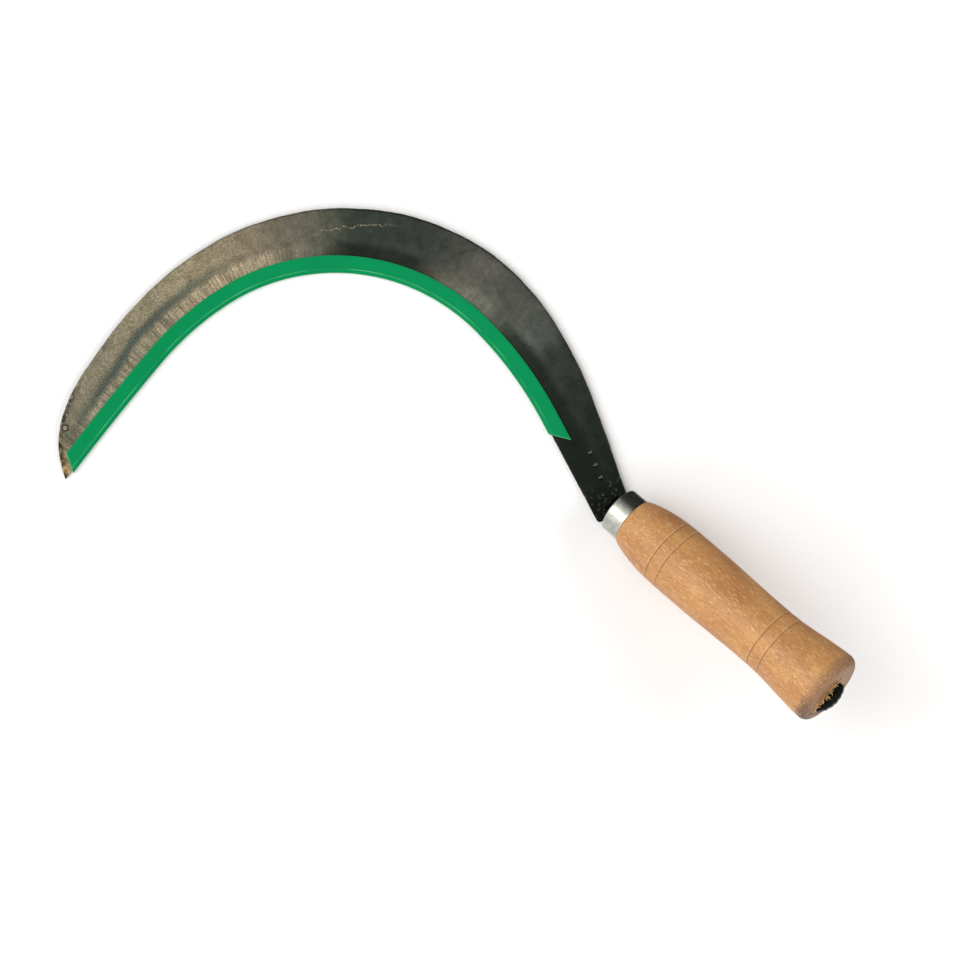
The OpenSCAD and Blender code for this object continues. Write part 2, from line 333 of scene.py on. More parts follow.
# Forged and ground carbon steel: metal with a warm grey film on the ground part and black scale at the
# heel. The grinding wheel leaves fine lines square to the edge, the fire leaves a dark ragged seam.
TIMES, TIMES_PLUS = {"operation": "MULTIPLY"}, {"operation": "MULTIPLY_ADD"}
MINUS, ABSOLUTE, LARGER = {"operation": "SUBTRACT"}, {"operation": "ABSOLUTE"}, {"operation": "MAXIMUM"}
SMOOTH = {"interpolation_type": "SMOOTHSTEP"}
BLEND, SHADE = {"data_type": "RGBA"}, {"data_type": "RGBA", "blend_type": "MULTIPLY"}
forged_steel, tree, shader = new_material("forged_ground_carbon_steel")
flow = add(tree, "ShaderNodeAttribute", {"attribute_name": "flow"})
axis = add(tree, "ShaderNodeSeparateXYZ", _0=flow.outputs["Vector"])
along, across = axis.outputs[0], axis.outputs[1]
back = add(tree, "ShaderNodeAttribute", {"attribute_name": "from_back"}).outputs["Fac"]
place = add(tree, "ShaderNodeTexCoord").outputs["Object"]
mottle = add(tree, "ShaderNodeTexNoise", Vector=place, Scale=160.0, Detail=5.0, Roughness=0.65)
cloud = add(tree, "ShaderNodeTexNoise", Vector=place, Scale=38.0, Detail=4.0, Roughness=0.6)
grit = add(tree, "ShaderNodeTexNoise", Vector=place, Scale=1400.0, Detail=3.0, Roughness=0.7)

# the steel's tone at each distance along the edge, on the bevel and on the forged part behind it: black
# scale at the heel, rubbed off here and there up to the crown, ground and warm grey from there on. Its
# light and dark patches along the edge are partly painted reflection of the lamps in the blade.
WEAR_AND_REFLECTION_ON_BEVEL = [
    (0.000, "#090f0b"), (0.040, "#101712"), (0.085, "#191e18"), (0.100, "#232923"), (0.112, "#464942"),
    (0.126, "#67665d"), (0.142, "#565548"), (0.157, "#1e231e"), (0.188, "#1a201b"), (0.203, "#55544a"),
    (0.228, "#938770"), (0.247, "#9f9177"), (0.290, "#837b66"), (0.330, "#8b846f"), (0.352, "#716a57"),
    (0.3708, "#97815b"),
]
WEAR_AND_REFLECTION_BEHIND = [
    (0.000, "#0c120e"), (0.040, "#1b221c"), (0.085, "#2f3430"), (0.098, "#4b4e48"), (0.112, "#484b44"),
    (0.130, "#53524b"), (0.152, "#2f342f"), (0.186, "#2e352e"), (0.206, "#57554a"), (0.235, "#7a705c"),
    (0.262, "#7c745e"), (0.300, "#726b59"), (0.335, "#6c6756"), (0.352, "#6b6553"), (0.3708, "#8c7853"),
]
wander = add(tree, "ShaderNodeMath", TIMES_PLUS, _0=cloud, _1=0.024, _2=along)
wear_and_reflection_at = add(tree, "ShaderNodeMapRange", Value=wander, _1=0.012, _2=EDGE_LEN + 0.012)
worn_and_reflected = []
for wear_and_reflection_stops in (WEAR_AND_REFLECTION_ON_BEVEL, WEAR_AND_REFLECTION_BEHIND):
    wear_and_reflection = add(tree, "ShaderNodeValToRGB", Fac=wear_and_reflection_at)
    stops = wear_and_reflection.color_ramp.elements
    while len(stops) < len(wear_and_reflection_stops):
        stops.new(0.5)
    for stop, (at, code) in zip(stops, wear_and_reflection_stops):
        stop.position = at / EDGE_LEN
        stop.color = srgb(code)
    worn_and_reflected.append(wear_and_reflection.outputs["Color"])
behind = add(tree, "ShaderNodeMapRange", SMOOTH, Value=across, _1=0.0115, _2=0.0165)
wear_and_reflection = add(tree, "ShaderNodeMix", BLEND, Factor=behind, _6=worn_and_reflected[0], _7=worn_and_reflected[1])
blotch = add(tree, "ShaderNodeMapRange", Value=mottle, _1=0.32, _2=0.68, _3=0.70, _4=1.32)
steel = add(
    tree, "ShaderNodeMix", SHADE,
    Factor=1.0, _6=wear_and_reflection, _7=blotch,
)
bright = add(tree, "ShaderNodeMapRange", SMOOTH, Value=along, _1=0.185, _2=0.245)

# wheel lines: long square to the edge and about 1 mm apart along it, coarser than real ones so they show
stretch = add(tree, "ShaderNodeVectorMath", TIMES, _0=flow.outputs["Vector"], _1=(1050, 48, 0))
lines = add(tree, "ShaderNodeTexNoise", Vector=stretch, Scale=1.0, Detail=1.5, Roughness=0.6)
on_bevel = add(tree, "ShaderNodeMapRange", Value=across, _1=0.0165, _2=0.0125)
line_on = add(tree, "ShaderNodeMapRange", Value=bright, _3=0.35, _4=1.0)
line_weight = add(tree, "ShaderNodeMath", TIMES, _0=on_bevel, _1=line_on)
line_dark = add(tree, "ShaderNodeMapRange", Value=lines, _1=0.38, _2=0.62, _3=0.62, _4=1.20)
lined = add(
    tree, "ShaderNodeMix", SHADE,
    Factor=line_weight, _6=steel, _7=line_dark,
)

# the seam where the bevel runs out: a dark blue-grey band, ragged, fading out towards the crown
seam_place = add(tree, "ShaderNodeMapRange", Value=along, _1=0.290, _2=0.350, _3=0.0164, _4=0.0112)
ragged = add(tree, "ShaderNodeMath", TIMES_PLUS, _0=cloud, _1=0.005, _2=-0.0025)
fine_ragged = add(tree, "ShaderNodeMath", TIMES_PLUS, _0=lines, _1=0.002, _2=-0.001)
seam_from = add(tree, "ShaderNodeMath", MINUS, _0=across, _1=seam_place)
seam_wild = add(tree, "ShaderNodeMath", _0=seam_from, _1=ragged)
seam_wild = add(tree, "ShaderNodeMath", _0=seam_wild, _1=fine_ragged)
seam_away = add(tree, "ShaderNodeMath", ABSOLUTE, _0=seam_wild)
seam = add(tree, "ShaderNodeMapRange", SMOOTH, Value=seam_away, _1=0.0038, _2=0.0003)
seam_on = add(tree, "ShaderNodeMapRange", SMOOTH, Value=along, _1=0.220, _2=0.285)
seam_off = add(tree, "ShaderNodeMapRange", Value=along, _1=0.325, _2=0.362, _3=1.0, _4=0.35)
for part in (seam_on, seam_off):
    seam = add(tree, "ShaderNodeMath", TIMES, _0=seam, _1=part)

# pits and scale that the hammer left along the back, deepest near the point
cells = add(tree, "ShaderNodeTexVoronoi", {"feature": "F1"}, Vector=place, Scale=520.0, Randomness=1.0)
pit = add(tree, "ShaderNodeMapRange", Value=cells, _1=0.70, _2=0.46)
near_back = add(tree, "ShaderNodeMapRange", Value=back, _1=0.0046, _2=0.0010)
near_point = add(tree, "ShaderNodeMapRange", Value=along, _1=0.290, _2=0.350, _3=0.15, _4=1.0)
patchy = add(tree, "ShaderNodeMapRange", Value=cloud, _1=0.38, _2=0.50)
scaled_point = add(tree, "ShaderNodeMapRange", Value=along, _1=0.348, _2=0.358, _4=1.0)
pit_where = add(tree, "ShaderNodeMath", LARGER, _0=patchy, _1=scaled_point)
for part in (near_back, near_point, pit_where):
    pit = add(tree, "ShaderNodeMath", TIMES, _0=pit, _1=part)

# pale scars: one along the knee where the wheel first touched the forged flat, and a dent near the point
SCAR_FROM, SCAR_TO = 0.168, 0.205
DENT_AT = (0.3505, 0.0157)
DENT_R = 0.0015
scar_place = add(tree, "ShaderNodeMapRange", Value=along, _1=SCAR_FROM, _2=SCAR_TO, _3=0.0262, _4=0.0180)
scar_wander = add(
    tree, "ShaderNodeTexNoise", {"noise_dimensions": "1D"}, W=along, Scale=260.0, Detail=2.0, Roughness=0.5
)
scar_bent = add(
    tree, "ShaderNodeMath", TIMES_PLUS, _0=scar_wander, _1=0.004, _2=scar_place
)
scar_from = add(tree, "ShaderNodeMath", MINUS, _0=across, _1=scar_bent)
scar_from = add(tree, "ShaderNodeMath", _0=scar_from, _1=0.002)
scar_away = add(tree, "ShaderNodeMath", ABSOLUTE, _0=scar_from)
scar = add(tree, "ShaderNodeMapRange", Value=scar_away, _1=0.00045, _2=0.00015)
scar_in = add(tree, "ShaderNodeMapRange", Value=along, _1=SCAR_FROM, _2=SCAR_FROM + 0.006)
scar_out = add(tree, "ShaderNodeMapRange", Value=along, _1=SCAR_TO, _2=SCAR_TO - 0.012)
scar_broken = add(tree, "ShaderNodeMapRange", Value=grit, _1=0.47, _2=0.58, _3=0.05, _4=0.6)
for part in (scar_in, scar_out, scar_broken):
    scar = add(tree, "ShaderNodeMath", TIMES, _0=scar, _1=part)
dent_s = add(tree, "ShaderNodeMath", MINUS, _0=along, _1=DENT_AT[0])
dent_d = add(tree, "ShaderNodeMath", MINUS, _0=across, _1=DENT_AT[1])
dent_to = add(tree, "ShaderNodeCombineXYZ", X=dent_s, Y=dent_d)
dent_r = add(tree, "ShaderNodeVectorMath", {"operation": "LENGTH"}, _0=dent_to)
dent_off = add(tree, "ShaderNodeMath", MINUS, _0=dent_r, _1=DENT_R)
dent_off = add(tree, "ShaderNodeMath", ABSOLUTE, _0=dent_off)
dent_rim = add(tree, "ShaderNodeMapRange", Value=dent_off, _1=0.00055, _2=0.0002, _4=0.95)
dent_floor = add(tree, "ShaderNodeMapRange", Value=dent_r, _1=DENT_R, _2=DENT_R * 0.6, _4=0.28)
pale = add(tree, "ShaderNodeMath", LARGER, _0=scar, _1=dent_floor)

# three plain round dots struck cold in the heel with a blunt punch, in a row along it
DOTS = [(0.0190, 0.0118), (0.0257, 0.0124), (0.0324, 0.0130)]
DOT_R = 0.0013
struck = glint_side = None
for dot_s, dot_d in DOTS:
    off_s = add(tree, "ShaderNodeMath", MINUS, _0=along, _1=dot_s)
    off_d = add(tree, "ShaderNodeMath", MINUS, _0=across, _1=dot_d)
    off = add(tree, "ShaderNodeCombineXYZ", X=off_s, Y=off_d)
    off_r = add(tree, "ShaderNodeVectorMath", {"operation": "LENGTH"}, _0=off)
    dot = add(tree, "ShaderNodeMapRange", Value=off_r, _1=DOT_R, _2=DOT_R * 0.55)
    side = add(tree, "ShaderNodeMapRange", Value=off_s, _1=0.0, _2=DOT_R * 0.5)
    lit = add(tree, "ShaderNodeMath", TIMES, _0=dot, _1=side)
    struck = dot if struck is None else add(tree, "ShaderNodeMath", LARGER, _0=struck, _1=dot)
    glint_side = lit if glint_side is None else add(tree, "ShaderNodeMath", _0=glint_side, _1=lit)
# a painted glint on one side of each dot's wall, the side toward the light
glint_band = add(tree, "ShaderNodeMath", TIMES_PLUS, _0=glint_side, _1=2.0, _2=-1.0)
glint_band = add(tree, "ShaderNodeMath", ABSOLUTE, _0=glint_band)
painted_glint = add(tree, "ShaderNodeMapRange", Value=glint_band, _1=0.80, _2=0.30, _4=0.45)

# a coarse pale speckle where the hammer left the heel rough beside the ferrule
near_ferrule = add(tree, "ShaderNodeMapRange", SMOOTH, Value=along, _1=0.018, _2=0.010)
rough_heel = add(tree, "ShaderNodeMapRange", Value=cells, _1=0.44, _2=0.20)
heel_on = add(tree, "ShaderNodeMapRange", Value=along, _1=0.0, _2=0.004, _4=0.45)
for part in (near_ferrule, patchy, heel_on):
    rough_heel = add(tree, "ShaderNodeMath", TIMES, _0=rough_heel, _1=part)

# a thin tan line on the corners of the heel, along the edge and the back: the scale worn off there, and a
# painted highlight where the corners catch the light
edge_worn_and_lit = add(tree, "ShaderNodeMapRange", Value=across, _1=0.00045, _2=0.00015)
back_worn_and_lit = add(tree, "ShaderNodeMapRange", Value=back, _1=0.00055, _2=0.00020)
corner = add(tree, "ShaderNodeMath", LARGER, _0=edge_worn_and_lit, _1=back_worn_and_lit)
corner_pick = add(tree, "ShaderNodeMapRange", Value=grit, _1=0.40, _2=0.60, _3=0.1, _4=0.7)
past_neck = add(tree, "ShaderNodeMapRange", Value=along, _1=0.005, _2=0.012)
for part in (corner_pick, past_neck):
    corner = add(tree, "ShaderNodeMath", TIMES, _0=corner, _1=part)

# all of these over the lined steel, from the lowest up, and a fine speckle over the whole
steel = lined
for part, code in (
    (seam, "#4a5148"), (pit, "#161814"), (pale, "#b5aa90"), (dent_rim, "#20211c"), (struck, "#070c08"),
    (painted_glint, "#a0947c"), (rough_heel, "#6f7163"), (corner, "#84765a"),
):
    steel = add(tree, "ShaderNodeMix", BLEND, Factor=part, _6=steel, _7=srgb(code))
speck = add(tree, "ShaderNodeMapRange", Value=grit, _1=0.36, _2=0.64, _3=0.55, _4=1.45)
speck_part = add(tree, "ShaderNodeMapRange", Value=bright, _3=0.35, _4=0.95)
specked = add(
    tree, "ShaderNodeMix", SHADE,
    Factor=speck_part, _6=steel, _7=speck,
)
tree.links.new(specked.outputs[2], shader.inputs["Base Color"])
shader.inputs["Metallic"].default_value = 0.85
rough = add(tree, "ShaderNodeMapRange", Value=mottle, _1=0.3, _2=0.7, _3=0.36, _4=0.50)
tree.links.new(rough.outputs[0], shader.inputs["Roughness"])

# relief: grit everywhere, wheel lines on the bevel, hollows of the pits and of the dots
line_height = add(tree, "ShaderNodeMath", TIMES, _0=lines, _1=line_weight)
pit_height = add(tree, "ShaderNodeMath", TIMES, _0=pit, _1=-2.0)
height = add(tree, "ShaderNodeMath", _0=line_height, _1=pit_height)
height = add(tree, "ShaderNodeMath", TIMES_PLUS, _0=mottle, _1=0.8, _2=height)
height = add(tree, "ShaderNodeMath", TIMES_PLUS, _0=grit, _1=0.35, _2=height)
relief = add(tree, "ShaderNodeBump", Strength=0.55, Distance=0.00006, Height=height)
sunk = add(tree, "ShaderNodeMath", TIMES, _0=struck, _1=-1.0)
bump = add(tree, "ShaderNodeBump", Strength=1.0, Distance=0.0003, Height=sunk, Normal=relief)
tree.links.new(bump.outputs[0], shader.inputs["Normal"])

bent_along_edge(blade, forged_steel)
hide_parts("blade")
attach(blade, "sickle")

# ---- Neck, tang and clench ------------------------------------------------------------------------
# The same forging goes on: a square neck climbs from the heel into the ferrule, and the tang runs
# through the handle. Its end is bent over on the butt with a hammer, and its point driven back in.

HANDLE_TILT = math.radians(21)
MOUTH = Vector((0, 0, 0.014003))
HANDLE_LEN = 0.1412
TANG_H = 0.007
NECK_FOOT_Y = 0.004
NECK_BEND = 0.002
CLENCH_RIGHT = 0.0032 + 0.00275
CLENCH_SPAN = 0.0185
CLENCH_H = 0.0048
CLENCH_RISE = 0.003
CLENCH_T = 0.0045
CLENCH_BITE = 0.002

HANDLE_AXIS = Vector((0, -math.cos(HANDLE_TILT), math.sin(HANDLE_TILT)))
HANDLE_TOP = Vector((0, math.sin(HANDLE_TILT), math.cos(HANDLE_TILT)))


def on_handle(x, top, e):
    """A point x to the right of the handle's axis, top above it, and e from the ferrule's mouth."""
    return MOUTH + x * Vector((1, 0, 0)) + top * HANDLE_TOP + e * HANDLE_AXIS


def side_view(y, z):
    """A point of the object's Y-Z plane as (height above the axis, distance from the mouth)."""
    up = z - MOUTH.z
    return y * HANDLE_TOP.y + up * HANDLE_TOP.z, y * HANDLE_AXIS.y + up * HANDLE_AXIS.z


BURY = 0.0006
NECK_IN = 0.012
NECK_ROUND = 0.0007
outline = [
    side_view(NECK_FOOT_Y + 0.002, BURY), side_view(NECK_FOOT_Y + 0.0012, BLADE_T + 0.0002),
    side_view(NECK_FOOT_Y, BLADE_T + 0.0018), (TANG_H / 2, 0.0), (TANG_H / 2 - 0.0004, NECK_IN),
    (-TANG_H / 2 + 0.0004, NECK_IN), (-TANG_H / 2, NECK_BEND), side_view(HEEL_END_Y + 0.0004, BURY),
]
rows = 14
rings = []
for k in range(rows + 1):
    x = mix(-TANG_HALF_W, TANG_HALF_W, k / rows)
    inset = NECK_ROUND * (abs(2 * k / rows - 1) ** 8)
    middle = Vector((sum(p[0] for p in outline) / len(outline), sum(p[1] for p in outline) / len(outline)))
    ring = []
    for top, e in outline:
        pull = (middle - Vector((top, e))).normalized() * inset
        ring.append(on_handle(x, top + pull.x, e + pull.y))
    rings.append(ring)
points, faces = skin(rings)
neck = mesh_piece("neck", points, faces)
bevel = neck.modifiers.new("hammered_corners", "BEVEL")
bevel.width = NECK_ROUND
bevel.segments = 3
bevel.limit_method = "ANGLE"
neck.data.materials.append(forged_steel)
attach(neck, "sickle")

chord = CLENCH_SPAN + CLENCH_RISE
arch_r = (chord**2 / 4 + CLENCH_H**2) / (2 * CLENCH_H)
clench_low = -0.0030
arch_x = CLENCH_RIGHT - CLENCH_SPAN + chord / 2
clench_steps = 44
rings = []
for k in range(clench_steps + 1):
    x = mix(CLENCH_RIGHT, CLENCH_RIGHT - CLENCH_SPAN - 0.0005, k / clench_steps)
    arch = CLENCH_H - arch_r + math.sqrt(max(arch_r**2 - (x - arch_x) ** 2, 0))
    rim = 0.0005 * (1 if 0 < k < clench_steps else 0.2)
    hammered = 0.00012 * math.sin(x * 2100) + 0.00008 * math.sin(x * 5300 + 1)
    high = max(arch, -CLENCH_BITE + 0.0006) + hammered
    half = CLENCH_T / 2 - (0.0004 if k in (0, clench_steps) else 0)
    ring = [(half, clench_low), (half, high - rim)]
    ring += [(half - rim * 0.3, high - rim * 0.3), (half - rim, high)]
    ring += [(-t, h) for t, h in reversed(ring)]
    rings.append([on_handle(x, t, HANDLE_LEN + h) for t, h in ring])
points, faces = skin(rings)
clench = mesh_piece("clenched_tang_end", points, [tuple(reversed(f)) for f in faces])
clench.data.materials.append(forged_steel)
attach(clench, "sickle")

# ---- Edge guard -----------------------------------------------------------------------------------
# A strip of soft green PVC, extruded as a channel with a round nose and two flat lips, cut to length
# with shears and pushed on the edge. A fine ridge runs where the nose meets the upper lip.

GUARD_REACH = 0.0075
GUARD_WALL = 0.0011
GUARD_NOSE = 0.0010
GUARD_GAP = 0.0001
GUARD_START = 0.0505
HEEL_SLANT = 0.0078
GUARD_STOP = 0.0050
POINT_SLANT = 0.0058
RIDGE_AT = 0.0008
RIDGE_H = 0.00007
LIP_ROUND = 0.00022
GUARD_RINGS = 420

nose_r = EDGE_T / 2 + GUARD_GAP + GUARD_WALL
nose_mid = Vector((nose_r - GUARD_NOSE - GUARD_GAP, EDGE_T / 2))
lip_inner = EDGE_T + (BLADE_T - EDGE_T) * GUARD_REACH / BEVEL_W + GUARD_GAP
lip_top = lip_inner + GUARD_WALL
crease = Vector((nose_mid.x, nose_mid.y + nose_r))
slope = (lip_top - crease.y) / (GUARD_REACH - crease.x)

section = [
    (GUARD_REACH, lip_inner), (GUARD_REACH, lip_top - LIP_ROUND),
    (GUARD_REACH - LIP_ROUND * 0.3, lip_top - LIP_ROUND * 0.3), (GUARD_REACH - LIP_ROUND, lip_top),
]
for d in (0.0060, 0.0045, 0.0030, 0.0018):
    section.append((d, crease.y + slope * (d - crease.x)))
for off, lift in ((0.00026, 0.0), (0.00012, 0.6), (0.0, 1.0), (-0.00010, 0.5), (-0.00020, -0.35)):
    d = RIDGE_AT + off
    section.append((d, crease.y + slope * (d - crease.x) + lift * RIDGE_H))
section += [
    tuple(nose_mid + nose_r * Vector((math.cos(math.radians(a)), math.sin(math.radians(a)))))
    for a in range(90, 271, 10)
]
section += [
    (0.0030, -GUARD_GAP - GUARD_WALL), (GUARD_REACH - LIP_ROUND, -GUARD_GAP - GUARD_WALL),
    (GUARD_REACH, -GUARD_GAP - GUARD_WALL + LIP_ROUND), (GUARD_REACH, -GUARD_GAP),
    (-GUARD_GAP, -GUARD_GAP), (-GUARD_GAP, EDGE_T + GUARD_GAP), (0.0, EDGE_T + GUARD_GAP),
]


def guard_share(d):
    return min(max((d + GUARD_NOSE + GUARD_GAP) / (GUARD_REACH + GUARD_NOSE + GUARD_GAP), 0), 1)


rings = []
for i in range(GUARD_RINGS + 1):
    ring = []
    for d, z in section:
        share = guard_share(d)
        start, stop = GUARD_START - HEEL_SLANT * share, EDGE_LEN - GUARD_STOP - POINT_SLANT * share
        ring.append(Vector((mix(start, stop, i / GUARD_RINGS), d, z)))
    rings.append(ring)
points, faces = skin(rings)
guard = mesh_piece("edge_guard_strip", points, [tuple(reversed(f)) for f in faces])
cut = guard.data.attributes.new("cut_face", "FLOAT", "POINT")
at_end = [1.0 if i in (0, GUARD_RINGS) else 0.0 for i in range(GUARD_RINGS + 1)]
cut.data.foreach_set("value", [value for value in at_end for _ in section])

# Soft extruded PVC: saturated green, satin, a little light goes into it. Extrusion leaves faint lines
# along it, and it whitens where it was sheared. The ridge along the upper lip is paler, partly whitened
# by the crease and partly a painted highlight, and the lip's rounded edge carries a painted highlight.
soft_pvc, tree, shader = new_material("soft_extruded_pvc")
flow = add(tree, "ShaderNodeAttribute", {"attribute_name": "flow"})
axis = add(tree, "ShaderNodeSeparateXYZ", _0=flow.outputs["Vector"])
place = add(tree, "ShaderNodeTexCoord").outputs["Object"]
cloud = add(tree, "ShaderNodeTexNoise", Vector=place, Scale=45.0, Detail=3.0, Roughness=0.5)
body = add(
    tree, "ShaderNodeMix", BLEND, Factor=cloud, _6=srgb("#008049"), _7=srgb("#008c52")
)
drawn = add(tree, "ShaderNodeVectorMath", TIMES, _0=flow.outputs["Vector"], _1=(12, 4200, 4200))
streak = add(tree, "ShaderNodeTexNoise", Vector=drawn, Scale=1.0, Detail=2.0, Roughness=0.5)
from_ridge = add(tree, "ShaderNodeMath", MINUS, _0=axis.outputs[1], _1=RIDGE_AT)
from_ridge = add(tree, "ShaderNodeMath", ABSOLUTE, _0=from_ridge)
ridge_glint = add(tree, "ShaderNodeMapRange", Value=from_ridge, _1=0.00024, _2=0.00006)
upper = add(tree, "ShaderNodeMath", {"operation": "GREATER_THAN"}, _0=axis.outputs[2], _1=0.0010)
ridge_patches = add(tree, "ShaderNodeMapRange", Value=cloud, _1=0.40, _2=0.60, _3=0.08, _4=0.75)
for part in (upper, ridge_patches):
    ridge_glint = add(tree, "ShaderNodeMath", TIMES, _0=ridge_glint, _1=part)
# painted highlight along the lip's rounded edge
lip_highlight = add(
    tree, "ShaderNodeMapRange", Value=axis.outputs[1], _1=GUARD_REACH - LIP_ROUND, _2=GUARD_REACH, _4=0.35
)
sheared = add(tree, "ShaderNodeAttribute", {"attribute_name": "cut_face"})
pale = add(tree, "ShaderNodeMath", LARGER, _0=ridge_glint, _1=lip_highlight)
sheared_part = add(tree, "ShaderNodeMath", TIMES, _0=sheared.outputs["Fac"], _1=0.55)
pale = add(tree, "ShaderNodeMath", LARGER, _0=pale, _1=sheared_part)
colour = add(
    tree, "ShaderNodeMix", BLEND, Factor=pale, _6=body, _7=srgb("#6fbf8e")
)
tree.links.new(colour.outputs[2], shader.inputs["Base Color"])
rough = add(tree, "ShaderNodeMapRange", Value=streak, _1=0.3, _2=0.7, _3=0.38, _4=0.52)
tree.links.new(rough.outputs[0], shader.inputs["Roughness"])
bump = add(tree, "ShaderNodeBump", Strength=0.25, Distance=0.00003, Height=streak)
tree.links.new(bump.outputs[0], shader.inputs["Normal"])
shader.inputs["IOR"].default_value = 1.45
shader.inputs["Specular IOR Level"].default_value = 0.06
shader.inputs["Subsurface Weight"].default_value = 0.08
shader.inputs["Subsurface Radius"].default_value = (0.3, 1.0, 0.5)
shader.inputs["Subsurface Scale"].default_value = 0.0008

bent_along_edge(guard, soft_pvc)
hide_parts("edge_guard")
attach(guard, "guard")
bpy.data.objects.remove(edge_curve)

# ---- Ferrule --------------------------------------------------------------------------------------
# A ring of drawn steel tube, cut off, faced and driven on the handle's spigot so that the tang cannot
# split the wood. It is bright, with fine scratches from handling and a rim that the lathe broke.

FERRULE_R = 0.012
FERRULE_WALL = 0.0009
FERRULE_LEN = 0.010
RIM = 0.00025
TURNS = 256


def turned(name, outline, closed=False):
    """A solid turned round the handle's axis from points (radius, distance from the mouth)."""
    rings = []
    for radius, e in outline:
        ring = []
        for k in range(TURNS):
            a = 2 * math.pi * k / TURNS
            ring.append(on_handle(radius * math.cos(a), radius * math.sin(a), e))
        rings.append(ring)
    if closed:
        rings.append(rings[0])
    points, faces = skin(rings, caps=not closed)
    return mesh_piece(name, points, faces)


outside = [(FERRULE_R, RIM + (FERRULE_LEN - 2 * RIM) * k / 12) for k in range(13)]
outline = [(FERRULE_R - FERRULE_WALL, FERRULE_LEN), (FERRULE_R - FERRULE_WALL, RIM)]
outline += [(FERRULE_R - FERRULE_WALL + RIM * 0.3, RIM * 0.3), (FERRULE_R - FERRULE_WALL + RIM, 0)]
outline += [(FERRULE_R - RIM, 0), (FERRULE_R - RIM * 0.3, RIM * 0.3)] + outside
outline += [(FERRULE_R - RIM * 0.3, FERRULE_LEN - RIM * 0.3), (FERRULE_R - RIM, FERRULE_LEN)]
ferrule = turned("ferrule_tube", outline, closed=True)

# Drawn steel tube: bright metal, finely scratched round and along, with small grey spots.
drawn_steel, tree, shader = new_material("drawn_steel_tube")
turn_x = HANDLE_TILT - math.pi / 2
home = -(Matrix.Rotation(turn_x, 3, "X") @ MOUTH)
place = add(tree, "ShaderNodeTexCoord").outputs["Object"]
own = add(tree, "ShaderNodeMapping", Vector=place, Rotation=(turn_x, 0, 0), Location=tuple(home))
rub = add(tree, "ShaderNodeMapping", Vector=own, Scale=(900, 900, 60))
along_rub = add(tree, "ShaderNodeTexNoise", Vector=rub, Scale=1.0, Detail=4.0, Roughness=0.7)
ring_rub = add(tree, "ShaderNodeMapping", Vector=own, Scale=(60, 60, 3500))
round_rub = add(tree, "ShaderNodeTexNoise", Vector=ring_rub, Scale=1.0, Detail=4.0, Roughness=0.7)
spots = add(tree, "ShaderNodeTexNoise", Vector=place, Scale=420.0, Detail=4.0, Roughness=0.6)
tone = add(tree, "ShaderNodeMapRange", Value=spots, _1=0.38, _2=0.60)
colour = add(
    tree, "ShaderNodeMix", BLEND, Factor=tone, _6=srgb("#b3b2a8"), _7=srgb("#c9c8be")
)
scuff = add(tree, "ShaderNodeMapRange", Value=along_rub, _1=0.60, _2=0.74, _3=1.0, _4=0.72)
colour = add(
    tree, "ShaderNodeMix", SHADE,
    Factor=1.0, _6=colour, _7=scuff,
)
tree.links.new(colour.outputs[2], shader.inputs["Base Color"])
shader.inputs["Metallic"].default_value = 1.0
rough = add(tree, "ShaderNodeMapRange", Value=round_rub, _1=0.3, _2=0.7, _3=0.20, _4=0.34)
tree.links.new(rough.outputs[0], shader.inputs["Roughness"])
height = add(tree, "ShaderNodeMath", _0=along_rub, _1=round_rub)
bump = add(tree, "ShaderNodeBump", Strength=0.2, Distance=0.00001, Height=height)
tree.links.new(bump.outputs[0], shader.inputs["Normal"])
ferrule.data.materials.append(drawn_steel)
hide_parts("ferrule")
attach(ferrule, "sickle")

# ---- Handle ---------------------------------------------------------------------------------------
# One piece of beech, turned between centres: a barrel, a waist and a swell before the butt, with two
# pairs of scribed lines. The butt was rounded and burnished against the lathe, then lacquered clear.

SHOULDER_R = 0.0127
BARREL_R = 0.01725
WAIST_R = 0.0164
SWELL_R = 0.0193
BUTT_ROUND = 0.0044
BARREL_AT = 0.043
NARROW_AT = 0.055
SWELL_FROM = HANDLE_LEN - 0.040
WAIST_AT = SWELL_FROM - 0.006
SWELL_TO = HANDLE_LEN - BUTT_ROUND / 2
GROOVES = [0.0375 - 0.0034, 0.0375 + 0.0034, HANDLE_LEN - 0.0366 - 0.0034, HANDLE_LEN - 0.0366 + 0.0034]
GROOVE_HALF_W = 0.0006
GROOVE_D = 0.0004
MOUTH_DEPTH = 0.0035


def between(e, a, b):
    return min(max((e - a) / (b - a), 0.0), 1.0)


def handle_r(e):
    """The handle's radius at a distance e from the ferrule's mouth."""
    if e < BARREL_AT:
        return SHOULDER_R + (BARREL_R - SHOULDER_R) * (1 - (1 - between(e, FERRULE_LEN, BARREL_AT)) ** 2.7)
    r = BARREL_R - (BARREL_R - WAIST_R) * ease(between(e, NARROW_AT, WAIST_AT))
    return r + (SWELL_R - WAIST_R) * ease(between(e, SWELL_FROM, SWELL_TO))


